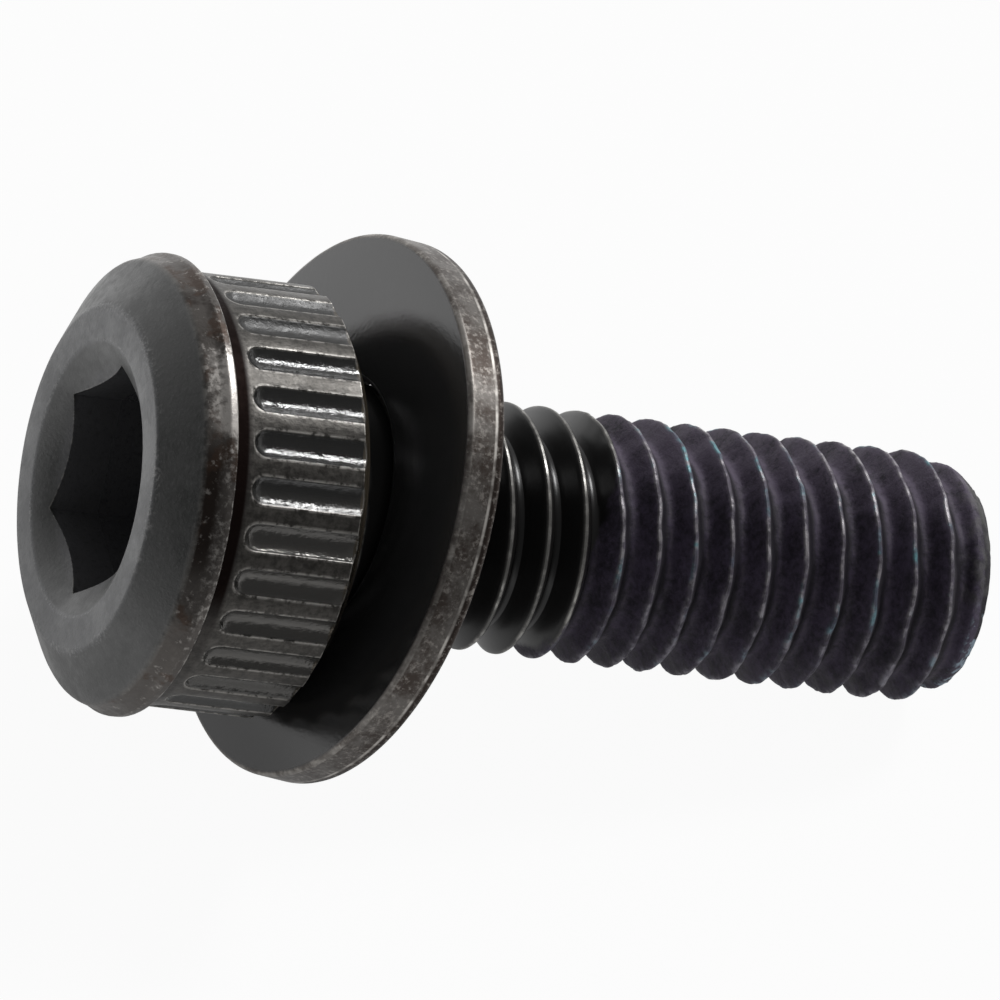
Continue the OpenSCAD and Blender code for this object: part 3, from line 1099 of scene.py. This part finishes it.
washer_shell = bmesh.new()
washer_shell.from_mesh(spun("washer_blank", washer_section(), WASHER_COLUMNS))
bmesh.ops.remove_doubles(washer_shell, verts=washer_shell.verts[:], dist=WELD)
bmesh.ops.recalc_face_normals(washer_shell, faces=washer_shell.faces[:])
rim_layer = washer_shell.verts.layers.float.new("rim")
hole_layer = washer_shell.verts.layers.float.new("hole")
across_layer = washer_shell.verts.layers.float.new("across")
for point in washer_shell.verts:
    out = point.co.xy.length
    point[rim_layer] = min(max((out - WASHER_R + WASHER_EDGE_R) / RIM_FADE, 0.0), 1.0)
    point[hole_layer] = 1.0 if out < WASHER_HOLE_R + WASHER_EDGE_R - 0.01 else 0.0
    point[across_layer] = point.co.z / (WASHER_T / 2)
mark_edges(washer_shell, gentle=1.5, sharp=5.0)
washer_lie = WASHER_PLACE @ Matrix.Scale(MM, 4)
washer_skin = finish_piece("washer_skin", washer_shell, [WASHER_FINISH], washer_lie)
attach(washer_skin, "root")
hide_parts("washer")
print("washer_skin", len(washer_skin.data.polygons), "faces")

# %% [markdown]
# ## Floor and light
#
# Black glossy metal shows its surroundings more than its own colour, so floor and light are part of
# its look. One small soft lamp stands above and behind the bolt and draws the thin bright lines on
# flutes and crests. The back half of the sky is pale, most of all near the horizon, and the side
# towards the lens stays dim, as in a small photo tent with an opening in front. The floor glows to
# the camera and to reflections, so that it is white without more light on the bolt. In reflections
# the glow is weaker close to the bolt and in front of it: a painted shadow of the bolt and painted
# shade of the open front. The diffuse part keeps the real shadow.

# %% White floor
FLOOR_HALF = 0.6
FLOOR_GREY = (0.8, 0.8, 0.8, 1)
WHITE = (1, 1, 1, 1)
BLACK = (0, 0, 0, 1)
SHADOWED_GLOW = 0.55
OPEN_GLOW = 1.2


def floor_finish():
    """White to the camera, white to reflections but for a painted shadow near the bolt and in front of
    it, and matt for the real shadow.
    """
    material = bpy.data.materials.new("floor_paint")
    material.use_nodes = True
    material.node_tree.nodes.clear()
    bench = Bench(material.node_tree)
    rays = bench.node("ShaderNodeLightPath").socket.node.outputs
    seen = Wire(bench, rays["Is Camera Ray"])
    mirrored = bench.most(Wire(bench, rays["Is Glossy Ray"]), Wire(bench, rays["Is Transmission Ray"]))
    spot = bench.node("ShaderNodeTexCoord", {}, {}, "Object")
    off = bench.node("ShaderNodeVectorMath", {"operation": "LENGTH"}, {0: spot}, "Value")
    front = Vector((-look.x, -look.y, 0.0)).normalized()
    # painted shade in reflections of the floor in front of the bolt
    front_shade = bench.ease(bench.along(spot, front), 0.004, 0.040)
    # painted shadow in reflections of the floor close to the bolt
    open_floor = SHADOWED_GLOW + bench.ease(off, 0.008, 0.018) * (OPEN_GLOW - SHADOWED_GLOW)
    shine = seen + mirrored * open_floor * (1 - front_shade * 0.9)
    matt = bench.node("ShaderNodeBsdfDiffuse", {}, {"Color": FLOOR_GREY})
    glow = bench.node("ShaderNodeEmission", {}, {"Color": WHITE, "Strength": shine})
    glows = seen * 0.95 + mirrored * 0.9
    both = bench.node("ShaderNodeMixShader", {}, {0: glows, 1: matt, 2: glow})
    bench.node("ShaderNodeOutputMaterial", {}, {"Surface": both})
    return material


floor_mesh = bpy.data.meshes.new("floor")
floor_corners = [(x * FLOOR_HALF, y * FLOOR_HALF, 0) for x, y in ((-1, -1), (1, -1), (1, 1), (-1, 1))]
floor_mesh.from_pydata(floor_corners, [], [(0, 1, 2, 3)])
floor_mesh.materials.append(floor_finish())
floor = bpy.data.objects.new("floor", floor_mesh)
bpy.context.scene.collection.objects.link(floor)
print("floor", FLOOR_HALF * 2, "m square")


# %% Lamp
def soft_lamp(name, direction, distance, size, power):
    """A square soft light that faces the bolt."""
    data = bpy.data.lights.new(name, "AREA")
    data.size = size
    data.energy = power
    lamp = bpy.data.objects.new(name, data)
    lamp.location = Vector(direction).normalized() * distance
    lamp.rotation_euler = lamp.location.to_track_quat("Z", "Y").to_euler()
    bpy.context.scene.collection.objects.link(lamp)
    return lamp


top_light = soft_lamp("top_light", direction=(0.58, 0.32, 0.75), distance=0.40, size=0.09, power=0.75)
print("lamp at", [round(c, 2) for c in top_light.location], "m")

# %% Sky
DIM_SKY = 0.165
BACK_SKY = 0.41
HORIZON_SKY = 0.30

world = bpy.data.worlds.new("sky")
world.use_nodes = True
world.node_tree.nodes.clear()
bpy.context.scene.world = world
bench = Bench(world.node_tree)
sky = bench.node("ShaderNodeTexCoord", {}, {}, "Generated")
behind = 1 - bench.ease(bench.along(sky, -look), -0.25, 0.45)
near_horizon = 1 - bench.ease(bench.split(sky)[2], 0.12, 0.45)
level = bench.blend(DIM_SKY + behind * (BACK_SKY + near_horizon * HORIZON_SKY), BLACK, WHITE)
direct = bench.node("ShaderNodeLightPath", {}, {}, "Is Camera Ray")
seen_sky = bench.blend(direct, level, WHITE)
air = bench.node("ShaderNodeBackground", {}, {"Color": seen_sky, "Strength": 1.0})
bench.node("ShaderNodeOutputWorld", {}, {"Surface": air})
bpy.context.scene.view_settings.view_transform = "Standard"
print("sky from", DIM_SKY, "to", round(DIM_SKY + BACK_SKY + HORIZON_SKY, 3))
